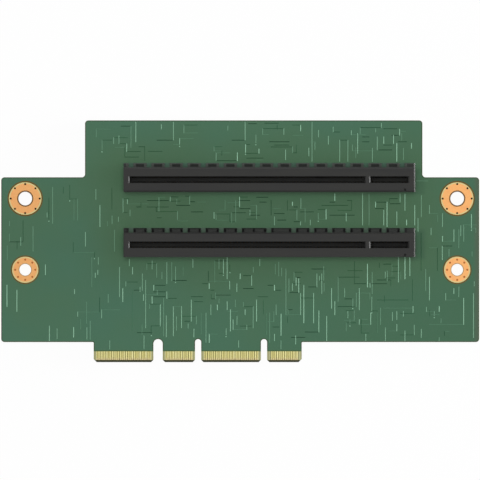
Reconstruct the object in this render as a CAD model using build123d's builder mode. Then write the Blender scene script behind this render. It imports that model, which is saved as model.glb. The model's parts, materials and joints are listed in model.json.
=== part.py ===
from build123d import *

import os

# A riser card lying on its back: X runs along its width, Y towards its upper edge, Z out of its front.
# The origin is below the middle of the card's outline, where the back copper meets the table.

# Board, as wide as its slots and the stretches beside them
beside_slots_left = 37.54
beside_slots_right = 19.96
board_height = 67.94
shoulder_height = 50.5
left_step = 25.7
right_step = 17.4
laminate_thickness = 1.57
copper_thickness = 0.05
corner_radius = 1.0

# Card edge: four tabs, with the contacts of each from left to right
tab_drop = 6.16
first_tab_inset = 28.34
tab_contacts = (28, 14, 28, 14)
tab_margins = (1.05, 1.05, 1.05, 1.4)
notch_widths = (2.86, 1.9, 1.9)
notch_depth = 7.06
tab_end_chamfer = 0.95
tab_notch_chamfer = 0.7
tab_root_radius = 0.3
bevel_height = 0.65
bevel_depth = 0.4
finger_pitch = 0.6
finger_width = 0.4
finger_length = 2.6
finger_lift = 0.05

# Mounting holes, measured from the board's bottom edge and its two ends
hole_left_inset = 7.35
hole_right_inset = 6.72
upper_hole_height = 43.98
lower_hole_height = 22.16
upper_hole_radius = 2.1
lower_hole_radius = 1.8
upper_land_radius = 5.0
lower_land_radius = 4.03
upper_hole_rim = 0.4
lower_hole_rim = 0.25
upper_via_circle = 4.45
lower_via_circle = 3.09
via_radius = 0.25
via_count = 8
via_sides = 5

# Slots: each is as long as its two rows of contacts, its key and its end walls
long_contacts = 71
short_contacts = 11
contact_pitch = 1.0
long_section_margin = 0.975
short_section_margin = 0.75
key_width = 1.75
end_wall = 1.9
upper_slot_height = 49.75
lower_slot_height = 29.82
housing_width = 7.5
housing_height = 11.25
housing_chamfer = 0.45
card_clearance = 0.18
slot_depth = 8.2
lead_in_depth = 0.4
lead_in_side = 0.2
lead_in_end = 0.4
underside_gap = 0.35
rail_depth = 1.35
rail_height = 2.2
rail_chamfer = 0.35
rail_gap = 1.5
rail_pitch = 5.54
rail_first_gap = 2.24
pin_mark_inset = 2.85
pin_mark_width = 0.7
pin_mark_reach = 1.0
pin_mark_depth = 1.5

# Spring contacts: the bulge stands into the slot, the heel and the tip stand back behind its wall
contact_width = 0.5
contact_thickness = 0.2
contact_bulge = 0.3
contact_bulge_depth = 5.2
contact_tip_rise = 1.3
contact_tip_setback = 0.45
contact_heel_setback = 0.6
contact_foot_inset = 0.65
channel_clearance = 0.4
channel_headroom = 0.6

# Faces and places worked out from the sizes above
back_face = copper_thickness
front_face = back_face + laminate_thickness
top_edge = (board_height + tab_drop) / 2
bottom_edge = top_edge - board_height
tab_bottom = bottom_edge - tab_drop
long_section = (long_contacts - 1) * contact_pitch + 2 * long_section_margin
short_section = (short_contacts - 1) * contact_pitch + 2 * short_section_margin
housing_length = long_section + key_width + short_section + 2 * end_wall
board_width = beside_slots_left + housing_length + beside_slots_right
left_end = -board_width / 2
right_end = board_width / 2
upper_width = board_width - left_step - right_step
upper_middle = (left_end + left_step + right_end - right_step) / 2
upper_holes = [
    (left_end + hole_left_inset, bottom_edge + upper_hole_height),
    (right_end - hole_right_inset, bottom_edge + upper_hole_height),
]
lower_holes = [
    (left_end + hole_left_inset, bottom_edge + lower_hole_height),
    (right_end - hole_right_inset, bottom_edge + lower_hole_height),
]
slot_left = left_end + beside_slots_left
slot_right = slot_left + housing_length
slot_middle = (slot_left + slot_right) / 2
upper_slot = bottom_edge + upper_slot_height
lower_slot = bottom_edge + lower_slot_height
key_right = slot_right - end_wall - short_section
key_left = key_right - key_width
slot_width = laminate_thickness + card_clearance
channel_width = contact_heel_setback + contact_thickness + channel_clearance
mating_face = front_face + housing_height
contact_top = mating_face - contact_bulge_depth + contact_tip_rise
channel_height = contact_top + channel_headroom - front_face
sections = {
    "long": (slot_left + end_wall, key_left, long_contacts),
    "short": (key_right, slot_right - end_wall, short_contacts),
}

# Each tab follows the one before it, across a notch
tabs = []
tab_start = left_end + first_tab_inset
for count, margin, notch in zip(tab_contacts, tab_margins, notch_widths + (0,)):
    tab_end = tab_start + (count - 1) * finger_pitch + 2 * margin
    tabs.append((tab_start, tab_end, count))
    tab_start = tab_end + notch
tabs_left = tabs[0][0]
tabs_right = tabs[-1][1]


def write(piece, name):
    piece.part.label = name
    export_step(piece.part, f"parts/{name}.step")


os.makedirs("parts", exist_ok=True)


# The board: a stepped outline with the notched card edge along its foot
with BuildPart() as board:
    with BuildSketch(Plane.XY.offset(back_face)) as outline:
        with Locations((0, bottom_edge)):
            Rectangle(board_width, shoulder_height, align=(Align.CENTER, Align.MIN))
        with Locations((upper_middle, bottom_edge)):
            Rectangle(upper_width, board_height, align=(Align.CENTER, Align.MIN))
        fillet(outline.vertices(), corner_radius)
        with Locations((tabs_left, tab_bottom)):
            tabs_height = tab_drop + corner_radius
            Rectangle(tabs_right - tabs_left, tabs_height, align=(Align.MIN, Align.MIN))
        for root in ((tabs_left, bottom_edge), (tabs_right, bottom_edge)):
            fillet(outline.vertices().sort_by_distance(root)[0], tab_root_radius)
        chamfer(outline.vertices().group_by(Axis.Y)[0], tab_end_chamfer)

        # Round-topped notches, cut on past the foot of the tabs
        for tab, following in zip(tabs, tabs[1:]):
            notch_width = following[0] - tab[1]
            with Locations(((tab[1] + following[0]) / 2, tab_bottom + notch_depth)):
                slot_reach = notch_depth + notch_width
                notch_top = (Align.MAX, Align.CENTER)
                SlotOverall(slot_reach, notch_width, rotation=90, align=notch_top, mode=Mode.SUBTRACT)
        mouths = outline.vertices().group_by(Axis.Y)[0].sort_by(Axis.X)[1:-1]
        chamfer(mouths, tab_notch_chamfer)
    extrude(amount=laminate_thickness)

    # The foot of the tabs is bevelled on both faces
    with BuildSketch(Plane.YZ.offset(tabs_left)):
        for face, inwards in ((back_face, 1), (front_face, -1)):
            with BuildLine():
                Polyline(
                    (tab_bottom, face),
                    (tab_bottom + bevel_height, face),
                    (tab_bottom, face + inwards * bevel_depth),
                    close=True,
                )
            make_face()
    extrude(amount=tabs_right - tabs_left, mode=Mode.SUBTRACT)

    # Plain mounting holes, each inside a ring of vias, which are too fine to need round walls
    for holes, hole_radius, via_circle in (
        (upper_holes, upper_hole_radius, upper_via_circle),
        (lower_holes, lower_hole_radius, lower_via_circle),
    ):
        with Locations(*holes):
            Hole(hole_radius)
        with BuildSketch(Plane.XY.offset(back_face)):
            with Locations(*holes):
                with PolarLocations(via_circle, via_count):
                    RegularPolygon(via_radius, via_sides)
        extrude(amount=laminate_thickness, mode=Mode.SUBTRACT)
write(board, "pcb")


def copper_lands(name, holes, inner_radius, outer_radius, via_circle, underside):
    """One pair of flat copper rings, with the vias that stitch front to back."""
    with BuildPart() as lands:
        with BuildSketch(Plane.XY.offset(underside)):
            with Locations(*holes):
                Circle(outer_radius)
                Circle(inner_radius, mode=Mode.SUBTRACT)
                with PolarLocations(via_circle, via_count):
                    RegularPolygon(via_radius, via_sides, mode=Mode.SUBTRACT)
        extrude(amount=copper_thickness)
    write(lands, name)


for face_name, underside in (("front", front_face), ("back", 0)):
    copper_lands(
        f"upper_{face_name}_lands",
        upper_holes,
        upper_hole_radius + upper_hole_rim,
        upper_land_radius,
        upper_via_circle,
        underside,
    )
    copper_lands(
        f"lower_{face_name}_lands",
        lower_holes,
        lower_hole_radius + lower_hole_rim,
        lower_land_radius,
        lower_via_circle,
        underside,
    )


def edge_fingers(name, tab, underside):
    """The gold contacts of one tab, on one face of the board."""
    tab_start, tab_end, count = tab
    with BuildPart() as fingers:
        with BuildSketch(Plane.XY.offset(underside)):
            with Locations(((tab_start + tab_end) / 2, tab_bottom + bevel_height + finger_lift)):
                with GridLocations(finger_pitch, 0, count, 1):
                    Rectangle(finger_width, finger_length, align=(Align.CENTER, Align.MIN))
        extrude(amount=copper_thickness)
    write(fingers, name)


for number, tab in enumerate(tabs, start=1):
    edge_fingers(f"tab_{number}_front_fingers", tab, front_face)
    edge_fingers(f"tab_{number}_back_fingers", tab, 0)


def slot_housing(name, slot_y):
    """A moulded slot body, mouth upwards, with the castellated rail along its upper side."""
    with BuildPart() as housing:
        with BuildSketch(Plane.XY.offset(front_face)):
            with Locations((slot_middle, slot_y)):
                Rectangle(housing_length, housing_width)
        extrude(amount=housing_height)
        chamfer(housing.faces().sort_by(Axis.Z)[-1].edges(), housing_chamfer)

        # The rail stands on the board along the upper side, and gaps cut it into teeth
        with BuildSketch(Plane.YZ.offset(slot_left)):
            with BuildLine():
                rail_root = slot_y + housing_width / 2
                rail_edge = rail_root + rail_depth
                rail_top = front_face + rail_height
                Polyline(
                    (rail_root, front_face),
                    (rail_edge, front_face),
                    (rail_edge, rail_top - rail_chamfer),
                    (rail_edge - rail_chamfer, rail_top),
                    (rail_root, rail_top),
                    close=True,
                )
            make_face()
        extrude(amount=housing_length)
        with BuildSketch(Plane.XY.offset(front_face)):
            first_gap = slot_left + rail_first_gap
            gap_count = int((slot_right - first_gap) / rail_pitch) + 1
            with Locations(*[(first_gap + number * rail_pitch, rail_root) for number in range(gap_count)]):
                Rectangle(rail_gap, rail_depth, align=(Align.CENTER, Align.MIN))
        extrude(amount=rail_height, mode=Mode.SUBTRACT)

        # Both sections: card slot, flared mouth, a channel for each contact row, raised underside
        for start, end, _ in sections.values():
            middle = (start + end) / 2
            length = end - start
            with BuildSketch(Plane.XY.offset(mating_face - slot_depth)):
                with Locations((middle, slot_y)):
                    Rectangle(length, slot_width)
            extrude(amount=slot_depth, mode=Mode.SUBTRACT)
            with BuildSketch(Plane.XY.offset(mating_face - lead_in_depth)):
                with Locations((middle, slot_y)):
                    Rectangle(length, slot_width)
            with BuildSketch(Plane.XY.offset(mating_face)):
                with Locations((middle, slot_y)):
                    Rectangle(length + 2 * lead_in_end, slot_width + 2 * lead_in_side)
            loft(mode=Mode.SUBTRACT)
            with BuildSketch(Plane.XY.offset(front_face)):
                for side in (-1, 1):
                    with Locations((middle, slot_y + side * (slot_width + channel_width) / 2)):
                        Rectangle(length, channel_width)
            extrude(amount=channel_height, mode=Mode.SUBTRACT)
            with BuildSketch(Plane.XY.offset(front_face)):
                with Locations((middle, slot_y)):
                    Rectangle(length, housing_width)
            extrude(amount=underside_gap, mode=Mode.SUBTRACT)

        # The mark by pin 1 is a nick in the lower edge of the mating face
        with BuildSketch(Plane.XY.offset(mating_face)):
            with Locations((slot_right - pin_mark_inset, slot_y - housing_width / 2)):
                Rectangle(pin_mark_width, pin_mark_reach, align=(Align.CENTER, Align.MIN))
        extrude(amount=-pin_mark_depth, mode=Mode.SUBTRACT)
    write(housing, name)


def contact_row(name, slot_y, side, section):
    """The spring contacts on one side of one section, their feet flat on the board."""
    start, end, count = section
    first = (start + end) / 2 - (count - 1) * contact_pitch / 2 - contact_width / 2
    planes = [Plane.YZ.offset(first + number * contact_pitch) for number in range(count)]
    slot_wall = slot_width / 2
    heel = slot_wall + contact_heel_setback
    profile = [
        (heel, front_face),
        (housing_width / 2 - contact_foot_inset, front_face),
        (heel + contact_thickness, front_face + contact_thickness),
        (slot_wall + contact_tip_setback, contact_top),
        (slot_wall - contact_bulge, mating_face - contact_bulge_depth),
    ]
    with BuildPart() as contacts:
        with BuildSketch(*planes):
            with BuildLine():
                Polyline(*[(slot_y + side * out, height) for out, height in profile], close=True)
            make_face()
        extrude(amount=contact_width)
    write(contacts, name)


for slot_name, slot_y in (("upper", upper_slot), ("lower", lower_slot)):
    slot_housing(f"{slot_name}_slot_housing", slot_y)
    for row_name, side in (("a", 1), ("b", -1)):
        for section_name, section in sections.items():
            contact_row(f"{slot_name}_slot_{section_name}_contacts_{row_name}", slot_y, side, section)
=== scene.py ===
import json
import math
import random

import bpy
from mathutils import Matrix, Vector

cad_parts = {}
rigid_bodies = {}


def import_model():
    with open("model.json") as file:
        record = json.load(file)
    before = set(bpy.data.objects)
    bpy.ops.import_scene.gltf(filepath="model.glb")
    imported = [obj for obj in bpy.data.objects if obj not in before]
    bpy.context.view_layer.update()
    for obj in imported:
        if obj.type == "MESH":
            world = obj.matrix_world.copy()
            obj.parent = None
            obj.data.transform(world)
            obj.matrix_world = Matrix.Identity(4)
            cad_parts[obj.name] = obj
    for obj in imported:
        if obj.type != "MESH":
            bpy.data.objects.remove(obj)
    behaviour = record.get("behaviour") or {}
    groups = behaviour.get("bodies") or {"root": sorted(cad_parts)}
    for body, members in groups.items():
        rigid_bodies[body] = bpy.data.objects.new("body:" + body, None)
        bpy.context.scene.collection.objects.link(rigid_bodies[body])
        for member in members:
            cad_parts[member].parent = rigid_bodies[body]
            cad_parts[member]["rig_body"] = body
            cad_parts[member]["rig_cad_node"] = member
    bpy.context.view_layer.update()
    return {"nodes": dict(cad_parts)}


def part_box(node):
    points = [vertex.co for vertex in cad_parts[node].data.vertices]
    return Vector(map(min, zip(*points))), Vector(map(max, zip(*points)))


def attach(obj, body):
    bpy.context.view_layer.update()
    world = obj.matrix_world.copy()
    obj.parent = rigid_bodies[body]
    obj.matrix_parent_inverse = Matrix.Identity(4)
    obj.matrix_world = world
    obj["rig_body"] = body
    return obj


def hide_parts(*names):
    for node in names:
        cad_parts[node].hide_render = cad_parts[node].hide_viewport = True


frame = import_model()


# The bare board: a plate of woven glass and epoxy, routed to its outline. Everything else is
# fixed to it. The mask and the copper hide most of it, so what shows is its edge, the bores,
# the clearances round the lands and the strip that carries the gold fingers.
MM = 0.001
front_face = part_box("pcb")[1].z
back_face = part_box("pcb")[0].z
tab_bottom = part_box("pcb")[0].y / MM
finger_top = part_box("tab_1_front_fingers")[1].y / MM
upper_holes = ((-65.90, 13.09), (66.53, 13.09))
lower_holes = ((-65.90, -8.73), (66.53, -8.73))
plies_per_mm = 4.2
streak_pitch = 0.843
strip_top = -32.6
bevel_top = 0.65


class Wire:
    """A socket of a material's nodes. Sums on it add Math nodes."""

    def __init__(self, tree, socket=None):
        self.tree = tree
        self.socket = socket

    def node(self, kind, settings=None, inputs=None, out=0):
        """Adds a node, sets it up, fills or links its sockets, and gives one of its outputs."""
        made = self.tree.nodes.new(kind)
        for name, value in (settings or {}).items():
            setattr(made, name, value)
        for name, value in (inputs or {}).items():
            if isinstance(value, Wire):
                self.tree.links.new(value.socket, made.inputs[name])
            else:
                made.inputs[name].default_value = value
        return Wire(self.tree, made.outputs[out] if made.outputs else None)

    def sum(self, operation, first, second):
        return self.node("ShaderNodeMath", {"operation": operation}, {0: first, 1: second})

    def alone(self, operation):
        return self.node("ShaderNodeMath", {"operation": operation}, {0: self})

    def __add__(self, other):
        return self.sum("ADD", self, other)

    def __radd__(self, other):
        return self.sum("ADD", other, self)

    def __sub__(self, other):
        return self.sum("SUBTRACT", self, other)

    def __rsub__(self, other):
        return self.sum("SUBTRACT", other, self)

    def __mul__(self, other):
        return self.sum("MULTIPLY", self, other)

    def __rmul__(self, other):
        return self.sum("MULTIPLY", other, self)

    def least(self, other):
        return self.sum("MINIMUM", self, other)

    def rise(self, low, high):
        """0 at low, 1 at high and smooth between them."""
        return self.node("ShaderNodeMapRange", {"interpolation_type": "SMOOTHSTEP"},
                         {"Value": self, "From Min": low, "From Max": high})

    def band(self, low, high, soft):
        """1 between low and high, falling to 0 over a soft edge outside each."""
        return self.rise(low - soft, low) * self.rise(high + soft, high)

    def mix(self, under, over):
        """The colour under where this mask is 0, and the colour over where it is 1."""
        return self.node("ShaderNodeMix", {"data_type": "RGBA"}, {0: self, 6: under, 7: over}, out=2)

    def scaled(self, factor):
        """A vector times a factor."""
        return self.node("ShaderNodeVectorMath", {"operation": "SCALE"}, {0: self, "Scale": factor})

    def times(self, vector):
        """A vector times another, axis by axis."""
        return self.node("ShaderNodeVectorMath", {"operation": "MULTIPLY"}, {0: self, 1: vector})

    def along(self, axis):
        """One of a vector's axes, X, Y or Z."""
        return self.node("ShaderNodeSeparateXYZ", inputs={"Vector": self}, out=axis)

    def noise(self, scale, detail=2.0):
        return self.node("ShaderNodeTexNoise", inputs={"Vector": self, "Scale": scale, "Detail": detail})

    def distance(self, spots):
        """How far this place is, seen from above, from the nearest of some spots."""
        flat = self.times((1, 1, 0))
        nearest = None
        for x, y in spots:
            away = flat.node("ShaderNodeVectorMath", {"operation": "DISTANCE"},
                             {0: flat, 1: (x, y, 0)}, out="Value")
            nearest = away if nearest is None else nearest.least(away)
        return nearest


def srgb(red, green, blue):
    """A colour from its three values of 0 to 255 on a screen."""
    linear = [((v / 255 + 0.055) / 1.055) ** 2.4 if v > 10 else v / 3295 for v in (red, green, blue)]
    return (*linear, 1.0)


def start_finish(name):
    """A new material, and the place on the piece in millimetres."""
    finish = bpy.data.materials.new(name)
    finish.use_nodes = True
    finish.node_tree.nodes.clear()
    place = Wire(finish.node_tree).node("ShaderNodeTexCoord", out="Object").scaled(1 / MM)
    return finish, place


def end_finish(finish, sockets, height=None, depth=0.01):
    """The surface shader with its sockets, and a bump of a height map that is depth mm deep."""
    start = Wire(finish.node_tree)
    if height is not None:
        bump = {"Height": height, "Distance": depth * MM, "Strength": 1.0}
        sockets = {**sockets, "Normal": start.node("ShaderNodeBump", inputs=bump)}
    surface = start.node("ShaderNodeBsdfPrincipled", inputs=sockets)
    start.node("ShaderNodeOutputMaterial", inputs={"Surface": surface})
    return finish


def streaks(across):
    """Fine dark stripes, 0.843 mm apart, across the fingers and the board round them."""
    return (across * (1 / streak_pitch)).alone("FRACT").rise(0.34, 0.24)


def coat_node(node, finish):
    """Gives a carried-over piece its finish."""
    frame["nodes"][node].data.materials.clear()
    frame["nodes"][node].data.materials.append(finish)


laminate, place = start_finish("glass_epoxy_laminate")
across = place.along("X")
up = place.along("Y")
high = place.along("Z")
plies = (high * plies_per_mm).alone("FRACT").rise(0.35, 0.6)
edge_on = place.node("ShaderNodeNewGeometry", out="Normal").along("Z").alone("ABSOLUTE").rise(0.6, 0.3)
weave = place.times((1, 1, 0.2)).noise(2.2, 1.0)
bare = weave.mix(srgb(46, 62, 40), srgb(62, 78, 50))
routed = plies.mix(srgb(60, 72, 48), srgb(98, 104, 70))
bare = up.rise(strip_top, strip_top - 0.5).mix(bare, srgb(64, 90, 58))
between_fingers = streaks(across).mix(srgb(156, 148, 88), srgb(94, 86, 44))
beside_fingers = streaks(across).mix(srgb(178, 178, 134), srgb(136, 132, 88))
under_fingers = up.rise(finger_top + 0.04, finger_top - 0.04)
bare = under_fingers.mix(bare, beside_fingers)
for tab in (1, 2, 3, 4):
    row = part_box(f"tab_{tab}_front_fingers")
    in_row = across.band(row[0].x / MM, row[1].x / MM, 0.1)
    bare = (under_fingers * in_row).mix(bare, between_fingers)
bevelled = up.rise(tab_bottom + bevel_top + 0.05, tab_bottom + bevel_top - 0.03)
bare = bevelled.mix(bare, srgb(48, 50, 30))
bare = edge_on.mix(bare, routed)
from_upper = place.distance(upper_holes)
from_lower = place.distance(lower_holes)
past_foil = from_upper.band(4.8, 5.6, 0.1) + from_lower.band(3.8, 4.6, 0.1)
bare = past_foil.mix(bare, srgb(96, 76, 34))
round_upper_bore = from_upper.rise(2.62, 2.52)
round_lower_bore = from_lower.rise(2.15, 2.07)
bare = round_upper_bore.mix(bare, srgb(112, 82, 48))
bare = round_lower_bore.mix(bare, srgb(186, 150, 106))
end_finish(laminate, {"Base Color": bare, "Roughness": 0.62 + weave * 0.15, "IOR": 1.5,
                      "Specular IOR Level": 0.35}, weave, 0.012)
coat_node("pcb", laminate)


# Copper runs: foil a few hundredths thick, etched on both faces and covered by the mask, so
# they stand up as low ridges. Runs that climb the card catch the light along their flanks and
# carry a painted highlight; those that cross it carry painted shade. The ones that stand out
# are placed, the faint ones are drawn.
run_width = 0.25
run_lift = 0.024
run_bury = 0.010
crossing_drop = 0.002
mask_film = 0.022
dot_radius = 0.19
film_front = front_face / MM + mask_film
film_back = back_face / MM - mask_film

# The runs that stand out: where each lies, from where to where, and how much painted highlight
# (above 0) or painted shade (below 0) it gets.
climbing = (
    (-71.5, -20, -13.5, 0.9), (-63.5, -3, 4.5, 0.4), (-58.5, -30.5, -26, 0.7), (-57.5, 5.5, 16.5, 0.4),
    (-40, -33, -30.5, 0.45), (-37, -17, -8, 0.55), (-36, -18.5, -14.5, 0.8), (-32, 30.5, 36.5, 0.6),
    (-29.5, -33, -29, 0.5), (-29, -26.5, -12, 0.5), (-23.5, -29, -17.5, 0.35), (-22.5, -13, -6.5, 0.5),
    (-20.5, -29, -20, 0.6), (-20.5, 31, 36.5, 0.5), (-18, -26.5, -20, 0.6), (-15, -24.5, -18, 0.65),
    (-4, -11.5, -5, 0.65), (-3, -27.5, -21, 0.7), (-0.5, -32.5, -30.5, 0.5), (1.5, 31, 36.5, 0.55),
    (5, -24.5, -18, 0.7), (12.5, -33, -30.5, 0.45), (14, -22.5, -8.5, 0.4), (18.5, -22.5, -16, 0.6),
    (19.5, -25, -13.5, 0.75), (22, 24.5, 36.5, 0.45), (22.5, -25, -16, 0.65), (26.5, -30.5, -23, 0.65),
    (29, -22.5, -18.5, 0.65), (30.5, 24.5, 31, 0.5), (33, 24.5, 31, 0.45), (36, 27, 33, 0.6),
    (36.5, -21, -14.5, 0.6), (37.5, 5, 14.5, 0.55), (39, -14, -7, 0.8), (45, 4.5, 12, 0.75),
    (48, 24.5, 30, 0.75), (48.5, -12.5, -5, 0.6), (50.5, -11.5, -5, 0.85), (52, -10.5, -5, 0.65),
    (53.5, 5, 11, 0.65), (58, -18, -11, 0.6), (68.5, -25.5, -17.5, 0.7), (71.5, -29.5, -16, 0.55),
    (24, 32, 34, 0.5), (28.5, 33.5, 35, 0.45), (40.5, 24.5, 28.5, 0.45), (41.5, 33.5, 34.5, 0.4),
    (42, 28, 32, 0.5), (44, 30, 32, 0.65), (47, 30, 32.5, 0.65), (49.5, 31, 33, 0.3),
    (50, 25, 28.5, 0.35), (52.5, 28.5, 30, 0.7), (1.5, -22.5, -21, 0.7), (3.5, -13.5, -10.5, 0.65),
    (4, -9.5, -8, 0.4), (6, -7.5, -5.5, 0.5), (8, -28.5, -22, 0.2), (9, -31, -22, 0.3),
    (10.5, -15, -13.5, 0.9), (10.5, -30.5, -28.5, 0.6), (11, -22.5, -19.5, 0.45), (16, -15, -13, 0.6),
    (16.5, -12, -9.5, 0.35), (17, -31.5, -29, 0.6), (23.5, -14, -10, 0.55), (25, -16, -10, 0.55),
    (28, -20.5, -14.5, 0.65), (30, -18.5, -11, 0.35), (32, -17, -14.5, 0.45), (32.5, -27.5, -25, 0.3),
    (33, -23.5, -21.5, 0.5), (36.5, -25.5, -24, 0.6), (40, -25.5, -22, 0.65), (42, -28, -22, 0.2),
    (43, -25.5, -20.5, 0.35), (44.5, -30.5, -26.5, 0.5), (46.5, -10.5, -7, 0.25), (48, -24, -21.5, 0.55),
    (48, -27.5, -25.5, 0.6), (50, -23, -21.5, 0.5), (50.5, -30.5, -27.5, 0.6), (38.5, -30.5, -28.5, 0.5),
    (-47, -30, -26.5, 0.5), (-46, -30, -24.5, 0.4), (-45.5, -14, -5, 0.3), (-43.5, -7, -5, 0.5),
    (-42.5, -23.5, -21, 0.5), (-34, -7.5, -5.5, 0.5), (-33, -10, -8, 0.7), (-33, -27.5, -15, 0.15),
    (-30, -15, -10, 0.5), (-27, -8.5, -6, 0.5), (-27, -19, -17, 0.8), (-26.5, -15, -13.5, 0.8),
    (-24.5, -26, -19.5, 0.65), (-24, -11.5, -9.5, 0.4), (-22.5, -17.5, -15.5, 0.6), (-21, -12, -6.5, 0.35),
    (-17.5, -10.5, -8, 0.25), (-14.5, -8, -5.5, 0.55), (-12, -28.5, -22, 0.25), (-10.5, -31, -22, 0.45),
    (-9.5, -14.5, -13, 0.9), (-9.5, -31, -28.5, 0.8), (-9, -22.5, -19.5, 0.5), (-7, -21, -19.5, 0.8),
    (-6.5, -8.5, -5.5, 0.4), (-4, -21, -18.5, 0.65), (-1.5, -20, -18, 0.35), (-1, -25.5, -23, 0.5),
    (0, -11.5, -10, 0.8), (55.5, 7.5, 14, 0.4), (54.5, 3, 7, 0.5), (58, 8.5, 11, 0.45),
    (60.5, 6, 8, 0.25), (62, 4.5, 8.5, 0.5), (58.5, 2, 4, 0.5), (62, 0, 1.5, 0.7),
    (65.5, 0, 3.5, 0.6), (67, -2, 3.5, 0.35), (68.5, 0, 5, 0.4), (64, -4.5, -2.5, 0.4),
    (60.5, -9, -2, -0.4), (55.5, -9, 2.5, -0.3), (67, -17, -14, 0.4), (65.5, -16, -14.5, 0.7),
    (63, -18, -16, 0.5), (61, -21.5, -20, 0.9), (55.5, -29.5, -27, 0.55), (61, -30.5, -29.5, 0.4),
    (3, 8, 9.5, 0.5), (10.5, 5, 7.5, 0.5), (9.5, 8, 12.5, -0.5), (16, 11, 12, 1.0),
    (14.5, 9.5, 12.5, -0.4), (18.5, 5, 6, 0.6), (21.5, 5, 6.5, 0.5), (29, 12.5, 14.5, 0.9),
    (39.5, 5, 14.5, 0.35), (41.5, 10.5, 12, 0.8), (44, 5, 9.5, 0.6), (48, 5, 9, 0.6),
    (49, 12, 14.5, 0.5), (50.5, 9.5, 14.5, 0.6), (51, 5, 6.5, 0.85),
)
crossing = (
    (-28.5, -22, 12.5, -0.8), (-28.5, -22, 10.5, -0.5), (-26, -23, -13.5, -0.7), (-26.5, -23, -15.5, -0.7),
    (-25.5, -20.5, 31, -0.7), (-20.5, -16.5, -12, -0.95), (-19.5, -15.5, 11, -0.9), (-15, -11.5, 9, -0.8),
    (-2.5, 1.5, 31, -0.7), (-0.5, 3, 12.5, -0.8), (2, 7, 25.5, -0.6), (3, 6, 8, -0.9),
    (5, 8.5, 13.5, -0.9), (9, 15, 30.5, -0.9), (10.5, 15, 29.5, -0.6), (22, 26, -8.5, -0.75),
    (25, 33, 11, -0.45), (30, 35, -20, -0.6), (30, 36.5, -11, -0.5), (40, 45, -13, -0.7),
    (46, 49, 11.5, -0.8), (54, 57.5, 18.5, 0.3), (28.5, 30.5, 33.5, -0.5), (30.5, 33, 31, -0.5),
    (37.5, 39.5, 32, -0.7), (37.5, 39.5, 30.5, -0.7), (42.5, 46.5, 28, -0.9), (44, 46.5, 29.5, -0.6),
    (44, 48, 34.5, -0.6), (48.5, 51, 30.5, -0.6), (1, 3.5, -10.5, -0.6), (1, 4, -14.5, -0.8),
    (5.5, 8.5, -17, -0.45), (8.5, 10, -13.5, -0.7), (11, 12.5, -15, -0.7), (14, 18.5, -22.5, 0.25),
    (16, 18.5, -13, -0.4), (16.5, 19, -9.5, -0.4), (21, 23.5, -14, -0.9), (0, 3.5, -26, -0.5),
    (32.5, 35.5, -25, -0.4), (33, 37.5, -9, -0.3), (35, 38.5, -13, -0.6), (36.5, 39.5, -25.5, 0.25),
    (42, 51.5, -18, -0.3), (44, 46.5, -7, -0.7), (44, 52.5, -20.5, 0.25), (45.5, 48, -27.5, 0.25),
    (-42.5, -37, -21, 0.25), (-34.5, -31.5, -12.5, -0.4), (-32.5, -30.5, -15, -0.7), (-31.5, -27, -28, -0.7),
    (-26.5, -23, -17, -0.7), (-22, -19.5, -17.5, -0.5), (-20.5, -18, -20, 0.25), (-17, -15.5, -24.5, -0.7),
    (-15, -11.5, -17, -0.6), (-14, -11.5, -18.5, -0.5), (-11.5, -10, -13, -0.5), (-9, -8, -15, -0.6),
    (-9.5, -7, -28.5, 0.25), (-7.5, -3, -16.5, -0.7), (58, 60.5, 8.5, 0.25), (62, 65.5, 0, 0.25),
    (68.5, 72.5, 5, 0.25), (58, 60.5, -2, 0.25), (63, 66, -18, 0.25), (58, 68.5, -25.5, 0.25),
    (58.5, 61, -22.5, 0.25), (6, 8, 12, -0.9), (0, 3, 10, -0.9), (10.5, 13.5, 8.5, -0.7),
    (11.5, 14, 6.5, -0.9), (16.5, 17.5, 10.5, -0.8), (18.5, 22.5, 9, -0.7), (16.5, 18.5, 6, -0.8),
    (27.5, 29, 12, -0.8), (27.5, 35, 8, -0.7), (41.5, 45, 12, -0.7), (41.5, 44, 10, -0.7),
)
# The stretches of open board: left, right, foot and head, then how many more runs climb and
# cross there. The routing is thin on the left and dense below the slots.
front_fields = (
    (-46.3, 0.0, 24.6, 36.4, 16, 18),
    (0.0, 23.0, 24.6, 36.4, 12, 12),
    (23.0, 54.6, 24.6, 36.4, 7, 5),
    (-36.2, 8.0, 5.0, 14.6, 18, 24),
    (8.0, 53.8, 5.0, 14.6, 8, 8),
    (-72.2, -36.6, -30.2, 18.4, 34, 4),
    (54.2, 72.4, -30.2, 18.4, 12, 4),
    (-36.2, 8.0, -30.2, -5.2, 30, 12),
    (8.0, 53.8, -30.2, -5.2, 34, 22),
)
back_fields = ((-72.2, 72.4, -30.2, 36.4, 260, 160),)
reaches = (1.3, 1.8, 2.4, 3.0, 4.2, 6.5)
spacing = 0.55
bend_share = 0.75
turning_share = 0.45
dot_share = 0.08
dot_below = 0.6
dot_tone = 0.8
upper_hole_clearance = 6.3
lower_hole_clearance = 5.2


def new_piece(name):
    """Names the piece that was just added and gives it back."""
    piece = bpy.context.object
    piece.name = name
    piece.data.name = name
    return piece


def only(piece):
    """Selects one piece and nothing else."""
    bpy.ops.object.select_all(action="DESELECT")
    piece.select_set(True)
    bpy.context.view_layer.objects.active = piece


def settle(piece):
    """Puts a piece's place, turn and size into its mesh."""
    only(piece)
    bpy.ops.object.transform_apply(location=True, rotation=True, scale=True)


def pick_faces(piece, wanted):
    """Selects, in edit mode, the faces that a test picks."""
    bpy.ops.mesh.select_mode(type="FACE")
    bpy.ops.mesh.select_all(action="DESELECT")
    bpy.ops.object.mode_set(mode="OBJECT")
    for face in piece.data.polygons:
        face.select = wanted(face)
    bpy.ops.object.mode_set(mode="EDIT")


def copy_of(form):
    """A copy of a piece with its own mesh."""
    made = form.copy()
    made.data = form.data.copy()
    bpy.context.collection.objects.link(made)
    return made


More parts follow.
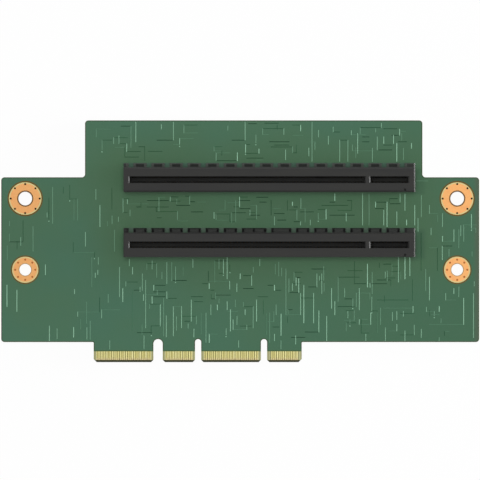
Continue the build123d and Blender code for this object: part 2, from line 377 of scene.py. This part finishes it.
def block(name, left, right, low, high, foot, head):
    """A block between two places on each axis, in millimetres."""
    bpy.ops.object.select_all(action="DESELECT")
    bpy.ops.mesh.primitive_cube_add(size=1)
    made = new_piece(name)
    made.scale = ((right - left) * MM, (high - low) * MM, (head - foot) * MM)
    made.location = ((left + right) / 2 * MM, (low + high) / 2 * MM, (foot + head) / 2 * MM)
    settle(made)
    return made


def join(pieces, name):
    """Makes one piece of several."""
    bpy.ops.object.select_all(action="DESELECT")
    for piece in pieces:
        piece.select_set(True)
    bpy.context.view_layer.objects.active = pieces[0]
    bpy.ops.object.join()
    return new_piece(name)


def finish_piece(piece, finish):
    """Gives a piece its material and its place in the part."""
    piece.data.materials.clear()
    piece.data.materials.append(finish)
    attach(piece, "root")


half_width = run_width / 2
half_height = (run_lift + run_bury) / 2
run_form = block("run_form", -half_width, half_width, -half_width, half_width, -half_height, half_height)
bpy.ops.object.mode_set(mode="EDIT")
pick_faces(run_form, lambda face: face.normal.z > 0.9)
bpy.ops.transform.resize(value=(0.45, 0.45, 1))
bpy.ops.object.mode_set(mode="OBJECT")


def lay_form(form, x, y, tone, side, drop=0, turn=0):
    """A copy of a form on the front or the back of the board, with its tone of painted light or shade."""
    laid = copy_of(form)
    face = film_front if side > 0 else film_back
    middle = face + side * ((run_lift - run_bury) / 2 - drop)
    laid.location = (x * MM, y * MM, middle * MM)
    laid.rotation_euler = (0 if side > 0 else math.pi, 0, side * turn)
    shade = laid.data.attributes.new("tone", "FLOAT", "FACE")
    shade.data.foreach_set("value", [tone] * len(laid.data.polygons))
    return laid


def lay_run(run, tone, side):
    """One run, given as left, foot, right and head, on the front or the back."""
    left, foot, right, head = run
    drop = crossing_drop if foot == head else 0
    turn = 0 if foot == head else math.pi / 2
    laid = lay_form(run_form, (left + right) / 2, (foot + head) / 2, tone, side, drop, turn)
    length = right - left + head - foot
    for vertex in laid.data.vertices:
        vertex.co.x += math.copysign(length / 2 * MM, vertex.co.x)
    return laid


bpy.ops.object.select_all(action="DESELECT")
bpy.ops.mesh.primitive_cylinder_add(vertices=8, radius=dot_radius * MM, depth=2 * half_height * MM)
dot_form = new_piece("dot_form")
bpy.ops.object.mode_set(mode="EDIT")
pick_faces(dot_form, lambda face: face.normal.z > 0.9)
bpy.ops.transform.resize(value=(0.5, 0.5, 1))
bpy.ops.object.mode_set(mode="OBJECT")


def free_of_parts(x, y, side):
    """Whether a point lies on open mask, away from the lands, the slots and the shoulders."""
    if min(math.dist((x, y), hole) for hole in upper_holes) < upper_hole_clearance:
        return False
    if min(math.dist((x, y), hole) for hole in lower_holes) < lower_hole_clearance:
        return False
    if side > 0 and -36.6 < x < 54.1 and (14.7 < y < 24.5 or -5.2 < y < 4.9):
        return False
    return y < 18.5 or -46.4 < x < 54.7


def apart(run, other):
    """Whether two runs cross, or keep their spacing where they lie the same way."""
    if (run[0] == run[2]) != (other[0] == other[2]):
        return True
    return (run[2] + spacing < other[0] or other[2] + spacing < run[0]
            or run[3] + spacing < other[1] or other[3] + spacing < run[1])


def draw_run(drawn, field, climbs, ends):
    """One run of a field, as left, foot, right and head. Most start where another kind ends."""
    left, right, foot, head = field
    x, y, reach = drawn.uniform(left, right), drawn.uniform(foot, head), drawn.choice(reaches)
    before = drawn.choice((0, reach))
    if ends and drawn.random() < bend_share:
        x, y = drawn.choice(ends)
        x, y = (x, y - before) if climbs else (x - before, y)
    return (x, y, x, y + reach) if climbs else (x, y, x + reach, y)


def draw_tone(drawn, climbs):
    """How much painted highlight or painted shade a run gets: most that climb get painted highlight and most
    that cross get painted shade.
    """
    if climbs:
        dark = drawn.random() < 0.2
        return -drawn.uniform(0.2, 0.5) if dark else drawn.triangular(0.2, 0.85, 0.35)
    dark = drawn.random() < 0.65
    return -drawn.triangular(0.2, 1.0, 0.4) if dark else 0.25


def draw_runs(fields, side, seed, placed):
    """Draws more runs between the placed ones and lays them, with small vias past some of them."""
    drawn = random.Random(seed)
    runs = []
    laid = list(placed)
    for *field, climb_count, cross_count in fields:
        turning = round(climb_count * turning_share)
        order = [True] * (climb_count - turning) + [False] * cross_count + [True] * turning
        ends = {True: [], False: []}
        for climbs in order:
            while True:
                run = draw_run(drawn, field, climbs, ends[not climbs])
                start, end = run[:2], run[2:]
                middle = ((run[0] + run[2]) / 2, (run[1] + run[3]) / 2)
                inside = field[0] < run[0] and run[2] < field[1] and field[2] < run[1] and run[3] < field[3]
                free = all(free_of_parts(*spot, side) for spot in (start, middle, end))
                if inside and free and all(apart(run, other) for other in laid):
                    break
            laid.append(run)
            ends[climbs] += [start, end]
            runs.append(lay_run(run, draw_tone(drawn, climbs), side))
            below = (run[0], run[1] - dot_below)
            if climbs and drawn.random() < dot_share and free_of_parts(*below, side):
                runs.append(lay_form(dot_form, *below, dot_tone, side))
    return runs


placed = [(x, low, x, top) for x, low, top, tone in climbing]
placed += [(left, y, right, y) for left, right, y, tone in crossing]
tones = [tone for *ends, tone in climbing + crossing]
front_runs = [lay_run(run, tone, 1) for run, tone in zip(placed, tones)]
front_runs += draw_runs(front_fields, 1, 4, placed)
front_copper_runs = join(front_runs, "front_copper_runs")
settle(front_copper_runs)
back_copper_runs = join(draw_runs(back_fields, -1, 9, []), "back_copper_runs")
settle(back_copper_runs)
bpy.data.objects.remove(run_form)
bpy.data.objects.remove(dot_form)


def mask_colour(place):
    """The green of the mask: cooler in the open, more olive round the slots, and with painted shade round
    the slots, towards the lower right, past the slots' right ends and between the ribs of the rails.
    """
    across = place.along("X")
    up = place.along("Y")
    drift = place.times((1, 1, 0)).noise(0.035, 2.0)
    from_slots = (up - 9).alone("ABSOLUTE")
    from_middle = (across - 9).alone("ABSOLUTE")
    # Round the slots the green is more olive and darker: an olive tint with painted shade.
    by_slots = from_slots.rise(31, 12) * from_middle.rise(62, 46)
    open_green = drift.rise(0.35, 0.65).mix(srgb(50, 93, 70), srgb(53, 92, 65))
    # Painted shade: the open green darkens towards the lower right, as the light falls off.
    open_green = (across - up).rise(-20, 110).mix(open_green, srgb(45, 86, 60))
    green = (by_slots * (0.6 + drift * 0.6)).mix(open_green, srgb(50, 86, 56))
    # A painted shadow on the board just past the right ends of the slots.
    shadow_past_ends = across.rise(52.5, 53.4) * across.rise(57.6, 55.4)
    shadow_beside_slots = (up - 18.4).alone("ABSOLUTE").rise(4.6, 3.4) * 0.6
    shadow_beside_slots = shadow_beside_slots + (up + 1.0).alone("ABSOLUTE").rise(5.6, 3.4)
    green = (shadow_past_ends * shadow_beside_slots).mix(green, srgb(36, 74, 48))
    green = across.rise(71.2, 72.8).mix(green, srgb(59, 80, 60))
    # Painted shade on the board between the ribs of both rails.
    along_rails = across.band(-35.6, 53.0, 0.4)
    green = (along_rails * up.band(22.8, 23.9, 0.3)).mix(green, srgb(48, 79, 62))
    return (along_rails * up.band(2.9, 4.0, 0.3)).mix(green, srgb(54, 75, 60))


raised_mask, place = start_finish("mask_over_copper")
tone = place.node("ShaderNodeAttribute", {"attribute_name": "tone"}, out="Fac")
# The tone paints light and shade into the runs' colour: a painted highlight above 0 and painted shade below
# 0.
light = tone.rise(0.0, 1.0)
dark = tone.rise(0.0, -1.0)
shade = light.mix(mask_colour(place), srgb(152, 196, 168))
shade = dark.mix(shade, srgb(4, 44, 22))
end_finish(raised_mask, {"Base Color": shade, "Roughness": 0.36, "IOR": 1.5, "Specular IOR Level": 0.2})
finish_piece(front_copper_runs, raised_mask)
finish_piece(back_copper_runs, raised_mask)


# Solder mask: a green film of about two hundredths, printed on both faces and opened round
# the lands, along the edge and above the fingers. It flows thin, so it shows the weave and
# small lumps of the board beneath, and it has a soft gloss.
edge_clearance = 0.27
upper_opening = 5.42
lower_opening = 4.40
mask_foot = -33.42


def copy_node(node, name):
    """A copy of a carried-over piece, free of its place in the part."""
    made = copy_of(frame["nodes"][node])
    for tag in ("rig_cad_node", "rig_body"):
        del made[tag]
    made.parent = None
    only(made)
    return new_piece(name)


def cut_body(body, operation, other):
    """Adds another form to a body or takes it away, and removes that form."""
    only(body)
    cut = body.modifiers.new("cut", "BOOLEAN")
    cut.operation = operation
    cut.solver = "EXACT"
    cut.object = other
    bpy.ops.object.modifier_apply(modifier=cut.name)
    bpy.data.objects.remove(other)


def print_mask(name, side):
    """A film on one face of the board, cut from the board's own outline."""
    film = copy_node("pcb", name)
    bpy.ops.object.mode_set(mode="EDIT")
    bpy.ops.mesh.select_all(action="SELECT")
    bpy.ops.mesh.remove_doubles(threshold=1e-6)
    pick_faces(film, lambda face: face.normal.z * side < 0.99)
    bpy.ops.mesh.delete(type="FACE")
    bpy.ops.mesh.select_all(action="SELECT")
    bpy.ops.mesh.inset(thickness=edge_clearance * MM, use_boundary=True, use_even_offset=True)
    bpy.ops.mesh.select_all(action="INVERT")
    bpy.ops.mesh.delete(type="FACE")
    bpy.ops.mesh.select_all(action="SELECT")
    bpy.ops.mesh.dissolve_limited(angle_limit=math.radians(0.5))
    bpy.ops.mesh.select_all(action="SELECT")
    lift = (0, 0, side * mask_film * MM)
    bpy.ops.mesh.extrude_region_move(TRANSFORM_OT_translate={"value": lift})
    bpy.ops.mesh.select_all(action="SELECT")
    bpy.ops.mesh.normals_make_consistent(inside=False)
    bpy.ops.object.mode_set(mode="OBJECT")
    openings = []
    for spots, radius in ((upper_holes, upper_opening), (lower_holes, lower_opening)):
        for x, y in spots:
            bpy.ops.object.select_all(action="DESELECT")
            bpy.ops.mesh.primitive_cylinder_add(vertices=72, radius=radius * MM, depth=4 * MM,
                                                location=(x * MM, y * MM, front_face / 2))
            openings.append(new_piece("opening"))
    opening = join(openings, "openings")
    settle(opening)
    cut_body(film, "DIFFERENCE", opening)
    only(film)
    bpy.ops.object.mode_set(mode="EDIT")
    bpy.ops.mesh.select_all(action="SELECT")
    bpy.ops.mesh.bisect(plane_co=(0, mask_foot * MM, 0), plane_no=(0, 1, 0), use_fill=True,
                        clear_inner=True)
    bpy.ops.object.mode_set(mode="OBJECT")
    return film


front_mask = print_mask("front_solder_mask", 1)
back_mask = print_mask("back_solder_mask", -1)
solder_mask, place = start_finish("solder_mask")
weave = place.times((1, 1, 0)).noise(1.6, 1.0)
lumps = place.times((1, 1, 0)).noise(0.35, 2.0)
end_finish(solder_mask, {"Base Color": mask_colour(place), "Roughness": 0.34 + lumps * 0.12, "IOR": 1.5,
                         "Coat Weight": 0.15, "Coat Roughness": 0.2}, weave + lumps * 2, 0.004)
finish_piece(front_mask, solder_mask)
finish_piece(back_mask, solder_mask)


# Lands and their vias: rings of bare copper foil on both faces round the bolt holes, joined
# through the board by eight plated barrels each. The foil is dulled by a clear film, paler at
# its rim, and a plug closes the middle of each barrel.
upper_land = 5.0
lower_land = 4.03
land_thickness = 0.05
upper_via_circle = 4.45
lower_via_circle = 3.09
via_count = 8
barrel_outside = 0.32
barrel_lift = 0.012
barrel_foot = 0.004
plug_rim = 0.04
plug_depth = 0.007

copper, place = start_finish("dulled_copper")
from_upper = place.distance(upper_holes)
from_lower = place.distance(lower_holes)
rim = from_upper.band(upper_land - 0.24, upper_land + 0.5, 0.28)
rim = rim + from_lower.band(lower_land - 0.22, lower_land + 0.3, 0.28)
stain = place.times((1, 1, 0)).noise(0.45, 3.0)
brushed = place.times((0.3, 3.0, 0)).noise(1.0, 2.0)
# Painted light: the foil is brighter towards the right, where the light comes from.
painted_light_rightward = place.along("X").rise(-40, 40)
foil = painted_light_rightward.mix(srgb(234, 172, 108), srgb(246, 180, 112))
foil = (stain.rise(0.45, 0.75) * 0.35).mix(foil, srgb(236, 158, 100))
foil = rim.mix(foil, srgb(212, 198, 140))
end_finish(copper, {"Base Color": foil, "Metallic": 0.55, "Roughness": 0.42 + stain * 0.2}, brushed, 0.002)
for height in ("upper", "lower"):
    for face in ("front", "back"):
        coat_node(f"{height}_{face}_lands", copper)

barrel_top = front_face / MM + land_thickness + barrel_lift
bpy.ops.object.select_all(action="DESELECT")
bpy.ops.mesh.primitive_cylinder_add(vertices=12, radius=barrel_outside * MM,
                                    depth=(barrel_top - barrel_foot) * MM,
                                    location=(0, 0, (barrel_top + barrel_foot) / 2 * MM))
barrel_form = new_piece("barrel_form")
settle(barrel_form)
bpy.ops.object.mode_set(mode="EDIT")
pick_faces(barrel_form, lambda face: abs(face.normal.z) > 0.9)
bpy.ops.mesh.inset(thickness=plug_rim * MM, use_individual=True)
bpy.ops.mesh.extrude_region_shrink_fatten(TRANSFORM_OT_shrink_fatten={"value": -plug_depth * MM})
bpy.ops.object.mode_set(mode="OBJECT")
barrels = []
for spots, circle in ((upper_holes, upper_via_circle), (lower_holes, lower_via_circle)):
    for x, y in spots:
        for step in range(via_count):
            angle = 2 * math.pi * step / via_count
            barrel = copy_of(barrel_form)
            barrel.location = ((x + circle * math.cos(angle)) * MM, (y + circle * math.sin(angle)) * MM, 0)
            barrels.append(barrel)
via_barrels = join(barrels, "via_barrels")
settle(via_barrels)
bpy.data.objects.remove(barrel_form)
plating, place = start_finish("via_plating")
dull = place.noise(3.0, 2.0)
plug = place.distance(upper_holes).rise(4.9, 5.6).mix(srgb(30, 22, 8), srgb(184, 112, 58))
plug = (dull * 0.25).mix(plug, srgb(60, 44, 26))
end_finish(plating, {"Base Color": plug, "Roughness": 0.55 + dull * 0.2, "IOR": 1.5,
                     "Specular IOR Level": 0.1})
finish_piece(via_barrels, plating)


# Gold fingers: hard gold on nickel on copper, in four groups on both faces. They differ a
# little from one to the next, are finely striped and turn warmer where the bevel starts.
finger_pitch = 0.6
gap_half = 0.1
finger_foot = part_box("tab_1_front_fingers")[0].y / MM
for tab in (1, 2, 3, 4):
    gold, place = start_finish(f"hard_gold_tab_{tab}")
    first_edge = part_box(f"tab_{tab}_front_fingers")[0].x / MM
    across = place.along("X")
    up = place.along("Y")
    count = (across - (first_edge - gap_half)) * (1 / finger_pitch)
    each = count.alone("FLOOR") + tab * 40
    lot = each.node("ShaderNodeTexWhiteNoise", {"noise_dimensions": "1D"}, {"W": each}, out="Value")
    wear = place.times((8, 1, 0)).noise(1.0, 2.0)
    plate = lot.mix(srgb(218, 210, 138), srgb(236, 230, 168))
    plate = streaks(across).mix(plate, srgb(184, 174, 108))
    plate = up.rise(finger_foot + 0.95, finger_foot).mix(plate, srgb(214, 196, 150))
    sheen = {"Base Color": plate, "Metallic": 0.7, "Roughness": 0.30 + wear * 0.15}
    end_finish(gold, sheen, wear, 0.002)
    for face in ("front", "back"):
        coat_node(f"tab_{tab}_{face}_fingers", gold)


# Slot housings: two bodies moulded in black glass-filled plastic and soldered to the board.
# A rail along their upper side is cut into ribs with shallow recesses, a small foot closes
# their right end, and the lower rail has one gap in place of its eighth and ninth.
slot_places = {"upper_slot": 18.86, "lower_slot": -1.07}
slot_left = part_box("upper_slot_housing")[0].x / MM
slot_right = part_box("upper_slot_housing")[1].x / MM
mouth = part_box("upper_slot_housing")[1].z / MM
board = front_face / MM
first_rib = slot_left + 2.24
rail_pitch = 5.54
rail_root = 3.75
rail_edge = 5.10
rail_top = board + 2.2
rail_chamfer = 0.35
rib_count = 15
gap_width = 1.5
odd_rib = 7
odd_gap = 8.77
odd_recess = 0.44
end_lean = 0.1
edge_softness = 0.05
foot_reach = 0.38
foot_height = 0.38
recess_depth = {"upper_slot": 0.6, "lower_slot": 1.3}
# Each recess of a rib: how far it lies from the rib's middle, its length, how far its middle
# lies from the rail's root, and its width.
recesses = {
    "upper_slot": ((0.0, 2.5, 0.46, 0.8),),
    "lower_slot": ((-1.58, 0.5, 0.52, 0.76), (1.58, 0.5, 0.52, 0.76)),
}

moulded, place = start_finish("moulded_black")
grain = place.noise(6.0, 2.0)
flow = place.times((0.06, 0.5, 0.5)).noise(1.0, 3.0)
shade = (flow * 0.6 + grain * 0.4).rise(0.3, 0.7).mix(srgb(24, 24, 24), srgb(33, 33, 31))
across = place.along("X")
up = place.along("Y")
on_ribs = place.along("Z").rise(4.2, 4.0)
above_upper = up.rise(22.50, 22.75) * on_ribs
above_lower = up.rise(2.55, 2.80) * up.rise(6.0, 5.0) * on_ribs
along_rib = ((across - first_rib) * (1 / rail_pitch)).alone("FRACT")
from_rib = (along_rib - 0.5).alone("ABSOLUTE") * rail_pitch
# Painted light: the ribs of the upper rail are painted lighter than the body, all but their recesses,
# against the shade of the wall beside them.
in_core = from_rib.rise(1.35, 1.2) * up.band(22.85, 23.7, 0.15)
shade = above_upper.mix(shade, in_core.mix(srgb(56, 60, 56), srgb(30, 32, 30)))
# Painted shade: the ribs of the lower rail are painted nearly black at their ends and darker towards the
# rail's left end.
in_odd_stretch = across.band(4.6, 13.5, 0.1)
shaded_rib_ends = from_rib.rise(1.2, 1.4) * (1 - in_odd_stretch)
shaded_rib_ends = shaded_rib_ends + (across - odd_gap).alone("ABSOLUTE").rise(1.62, 1.42) * in_odd_stretch
shaded_rib_ends = shaded_rib_ends + across.rise(-33.8, -34.2) * 0.7
shade = above_lower.mix(shade, shaded_rib_ends.mix(srgb(36, 38, 36), srgb(12, 12, 12)))
end_finish(moulded, {"Base Color": shade, "Roughness": 0.46 + flow * 0.14, "IOR": 1.5,
                     "Specular IOR Level": 0.4}, grain, 0.006)


def weld(body):
    """Joins the loose triangles of a body into its flat faces."""
    only(body)
    bpy.ops.object.mode_set(mode="EDIT")
    bpy.ops.mesh.select_all(action="SELECT")
    bpy.ops.mesh.remove_doubles(threshold=1e-6)
    bpy.ops.mesh.dissolve_limited(angle_limit=math.radians(1))
    bpy.ops.object.mode_set(mode="OBJECT")


def move_gap(body):
    """Closes the eighth and ninth gap of the lower rail and opens one between them."""
    root = slot_places["lower_slot"] + rail_root
    edge_of_rail = slot_places["lower_slot"] + rail_edge
    left = first_rib + odd_rib * rail_pitch - gap_width / 2
    right = first_rib + (odd_rib + 1) * rail_pitch + gap_width / 2
    filler = block("filler", left - 0.4, right + 0.4, root - 0.3, edge_of_rail, board, rail_top)
    bpy.ops.object.mode_set(mode="EDIT")
    bpy.ops.mesh.select_mode(type="EDGE")
    bpy.ops.mesh.select_all(action="DESELECT")
    bpy.ops.object.mode_set(mode="OBJECT")
    for edge in filler.data.edges:
        ends = [filler.data.vertices[number].co / MM for number in edge.vertices]
        edge.select = all(end.z > rail_top - 0.01 and end.y > edge_of_rail - 0.01 for end in ends)
    bpy.ops.object.mode_set(mode="EDIT")
    bpy.ops.mesh.bevel(offset=rail_chamfer * MM, offset_type="OFFSET", segments=1)
    bpy.ops.object.mode_set(mode="OBJECT")
    cut_body(body, "UNION", filler)
    opened = block("opened", odd_gap - gap_width / 2, odd_gap + gap_width / 2, root, edge_of_rail + 1,
                   board - 1, rail_top + 1)
    cut_body(body, "DIFFERENCE", opened)
    weld(body)


def mould_housing(slot):
    """A slot body with the recesses in its ribs, its foot, a leaning right end and soft edges."""
    body = copy_node(f"{slot}_housing", f"{slot}_body")
    weld(body)
    if slot == "lower_slot":
        move_gap(body)
    middle = slot_places[slot]
    deep = recess_depth[slot]
    cores = []
    for rib in range(rib_count):
        for aside, length, inwards, width in recesses[slot]:
            x = first_rib + (rib + 0.5) * rail_pitch + aside
            if slot == "lower_slot" and rib == odd_rib:
                x = odd_gap + math.copysign(gap_width / 2 + odd_recess, aside)
            if slot == "lower_slot" and rib == odd_rib + 1 and aside < 0:
                continue
            y = middle + rail_root + inwards
            cores.append(block("core", x - length / 2, x + length / 2, y - width / 2, y + width / 2,
                               rail_top - deep, rail_top + deep))
    cut_body(body, "DIFFERENCE", join(cores, "rib_cores"))
    for vertex in body.data.vertices:
        if vertex.co.z > (mouth - 0.01) * MM and vertex.co.x > (slot_right - 0.6) * MM:
            vertex.co.x = (slot_right - end_lean) * MM
    foot = block("foot", slot_right - end_lean, slot_right + foot_reach, middle - rail_root,
                 middle + rail_edge, board, board + foot_height)
    bpy.ops.object.mode_set(mode="EDIT")
    pick_faces(foot, lambda face: face.normal.z > 0.9)
    bpy.ops.transform.resize(value=(0.1, 1, 1), center_override=((slot_right - end_lean) * MM, 0, 0))
    bpy.ops.object.mode_set(mode="OBJECT")
    body = join([body, foot], f"{slot}_body")
    soften = body.modifiers.new("soft_edges", "BEVEL")
    soften.width = edge_softness * MM
    soften.segments = 2
    soften.limit_method = "ANGLE"
    soften.angle_limit = math.radians(40)
    bpy.ops.object.modifier_apply(modifier=soften.name)
    finish_piece(body, moulded)
    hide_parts(f"{slot}_housing")


for slot in slot_places:
    mould_housing(slot)


# Cell walls: thin webs moulded inside each slot, one between each two contacts, that keep
# the springs apart. They stop flush with the walls of the slot, clear of the card.
contact_pitch = 1.0
web_thickness = 0.38
slot_half_width = 0.875
channel_reach = 2.0
web_foot = board + 0.45
web_top = 9.50
# The long and the short section of a slot: left end, contacts in a row, and margin.
sections = ((-33.81, 71, 0.975), (39.89, 11, 0.75))

half_web = web_thickness / 2
half_reach = (channel_reach - slot_half_width) / 2
web_form = block("web_form", -half_web, half_web, -half_reach, half_reach, web_foot, web_top)
bpy.ops.object.mode_set(mode="EDIT")
pick_faces(web_form, lambda face: face.normal.z > 0.9)
bpy.ops.transform.resize(value=(0.5, 1, 1))
bpy.ops.object.mode_set(mode="OBJECT")
webs = []
for middle in slot_places.values():
    for left, count, margin in sections:
        for number in range(count - 1):
            for side in (-1, 1):
                x = left + margin + (number + 0.5) * contact_pitch
                y = middle + side * (slot_half_width + half_reach)
                web = copy_of(web_form)
                web.location = (x * MM, y * MM, 0)
                webs.append(web)
cell_walls = join(webs, "slot_cell_walls")
settle(cell_walls)
bpy.data.objects.remove(web_form)
finish_piece(cell_walls, moulded)


# Spring contacts: strips of phosphor bronze, gold on the bulge that touches the card and
# tin on the foot that is soldered to the board. Their colours carry painted shade of the deep slot.
spring, place = start_finish("sprung_bronze")
high = place.along("Z")
tarnish = place.noise(2.0, 3.0)
# Painted shade: the bronze and the gold are darkened, and the contacts are painted nearly black above the
# bulge.
shaded_metal = high.rise(3.0, 2.2).mix(srgb(88, 66, 40), srgb(132, 130, 124))
shaded_metal = high.band(7.0, 8.2, 0.4).mix(shaded_metal, srgb(86, 72, 42))
shaded_metal = high.rise(8.2, 8.6).mix(shaded_metal, srgb(34, 32, 28))
end_finish(spring, {"Base Color": shaded_metal, "Metallic": 1.0, "Roughness": 0.45 + tarnish * 0.2})
for height in ("upper", "lower"):
    for length in ("long", "short"):
        for row in ("a", "b"):
            coat_node(f"{height}_slot_{length}_contacts_{row}", spring)


# The studio: a pale floor under the card's back, soft light from above and a little to the
# right, a low strip on the right, and a camera straight above at the photograph's framing.
frame_width = 0.14715
lens = 1500.0
film_width = 36.0
photo_centre = (-0.000055, 0.00039)
key_distance = 3.0
strip_distance = 1.6


def seen_directly(start):
    """1 for rays of the camera and for those that gloss or glass sends on, and else 0."""
    seen = start.node("ShaderNodeLightPath", out="Is Camera Ray")
    for kind in ("Is Glossy Ray", "Is Transmission Ray"):
        seen = seen.sum("MAXIMUM", seen, start.node("ShaderNodeLightPath", out=kind))
    return seen


bpy.ops.object.select_all(action="DESELECT")
bpy.ops.mesh.primitive_plane_add(size=6, location=(0, 0, -0.1 * MM))
floor = new_piece("floor")
bpy.ops.object.mode_set(mode="EDIT")
bpy.ops.mesh.subdivide(number_cuts=3)
bpy.ops.object.mode_set(mode="OBJECT")
pale = bpy.data.materials.new("pale_floor")
pale.use_nodes = True
pale.node_tree.nodes.clear()
start = Wire(pale.node_tree)
matt = start.node("ShaderNodeBsdfDiffuse", inputs={"Color": (0.93, 0.93, 0.93, 1)})
white = start.node("ShaderNodeEmission", inputs={"Color": (1, 1, 1, 1), "Strength": 1.0})
mixed = start.node("ShaderNodeMixShader", inputs={0: seen_directly(start) * 0.88, 1: matt, 2: white})
start.node("ShaderNodeOutputMaterial", inputs={"Surface": mixed})
floor.data.materials.append(pale)

world = bpy.data.worlds.new("studio")
bpy.context.scene.world = world
world.use_nodes = True
world.node_tree.nodes.clear()
start = Wire(world.node_tree)
glow = 0.18 + seen_directly(start) * 0.82
sky = start.node("ShaderNodeBackground", inputs={"Color": (1, 1, 1, 1), "Strength": glow})
start.node("ShaderNodeOutputWorld", inputs={"Surface": sky})


def hang_light(name, toward, distance, width, depth, power):
    """An area light out along a direction from the card, turned to face it."""
    lamp = bpy.data.lights.new(name, "AREA")
    lamp.shape = "RECTANGLE"
    lamp.size = width
    lamp.size_y = depth
    lamp.energy = power
    light = bpy.data.objects.new(name, lamp)
    bpy.context.collection.objects.link(light)
    reach = math.dist((0, 0, 0), toward)
    light.location = [part / reach * distance for part in toward]
    flat = math.hypot(toward[0], toward[1])
    light.rotation_euler = (0, math.atan2(flat, toward[2]), math.atan2(toward[1], toward[0]))
    light.visible_camera = False
    return light


key = hang_light("overhead_softbox", (-0.02, 0.045, 1.0), key_distance, 0.65, 0.65, 66.0)
key.visible_glossy = False
hang_light("right_strip", (1.0, 0.12, 0.09), strip_distance, 0.2, 1.0, 34.0)

camera_data = bpy.data.cameras.new("camera")
camera_data.lens = lens
camera_data.sensor_width = film_width
camera_data.clip_end = 50.0
camera = bpy.data.objects.new("camera", camera_data)
bpy.context.collection.objects.link(camera)
camera.location = (*photo_centre, front_face + frame_width * lens / film_width)
bpy.context.scene.camera = camera
bpy.context.scene.view_settings.view_transform = "Standard"
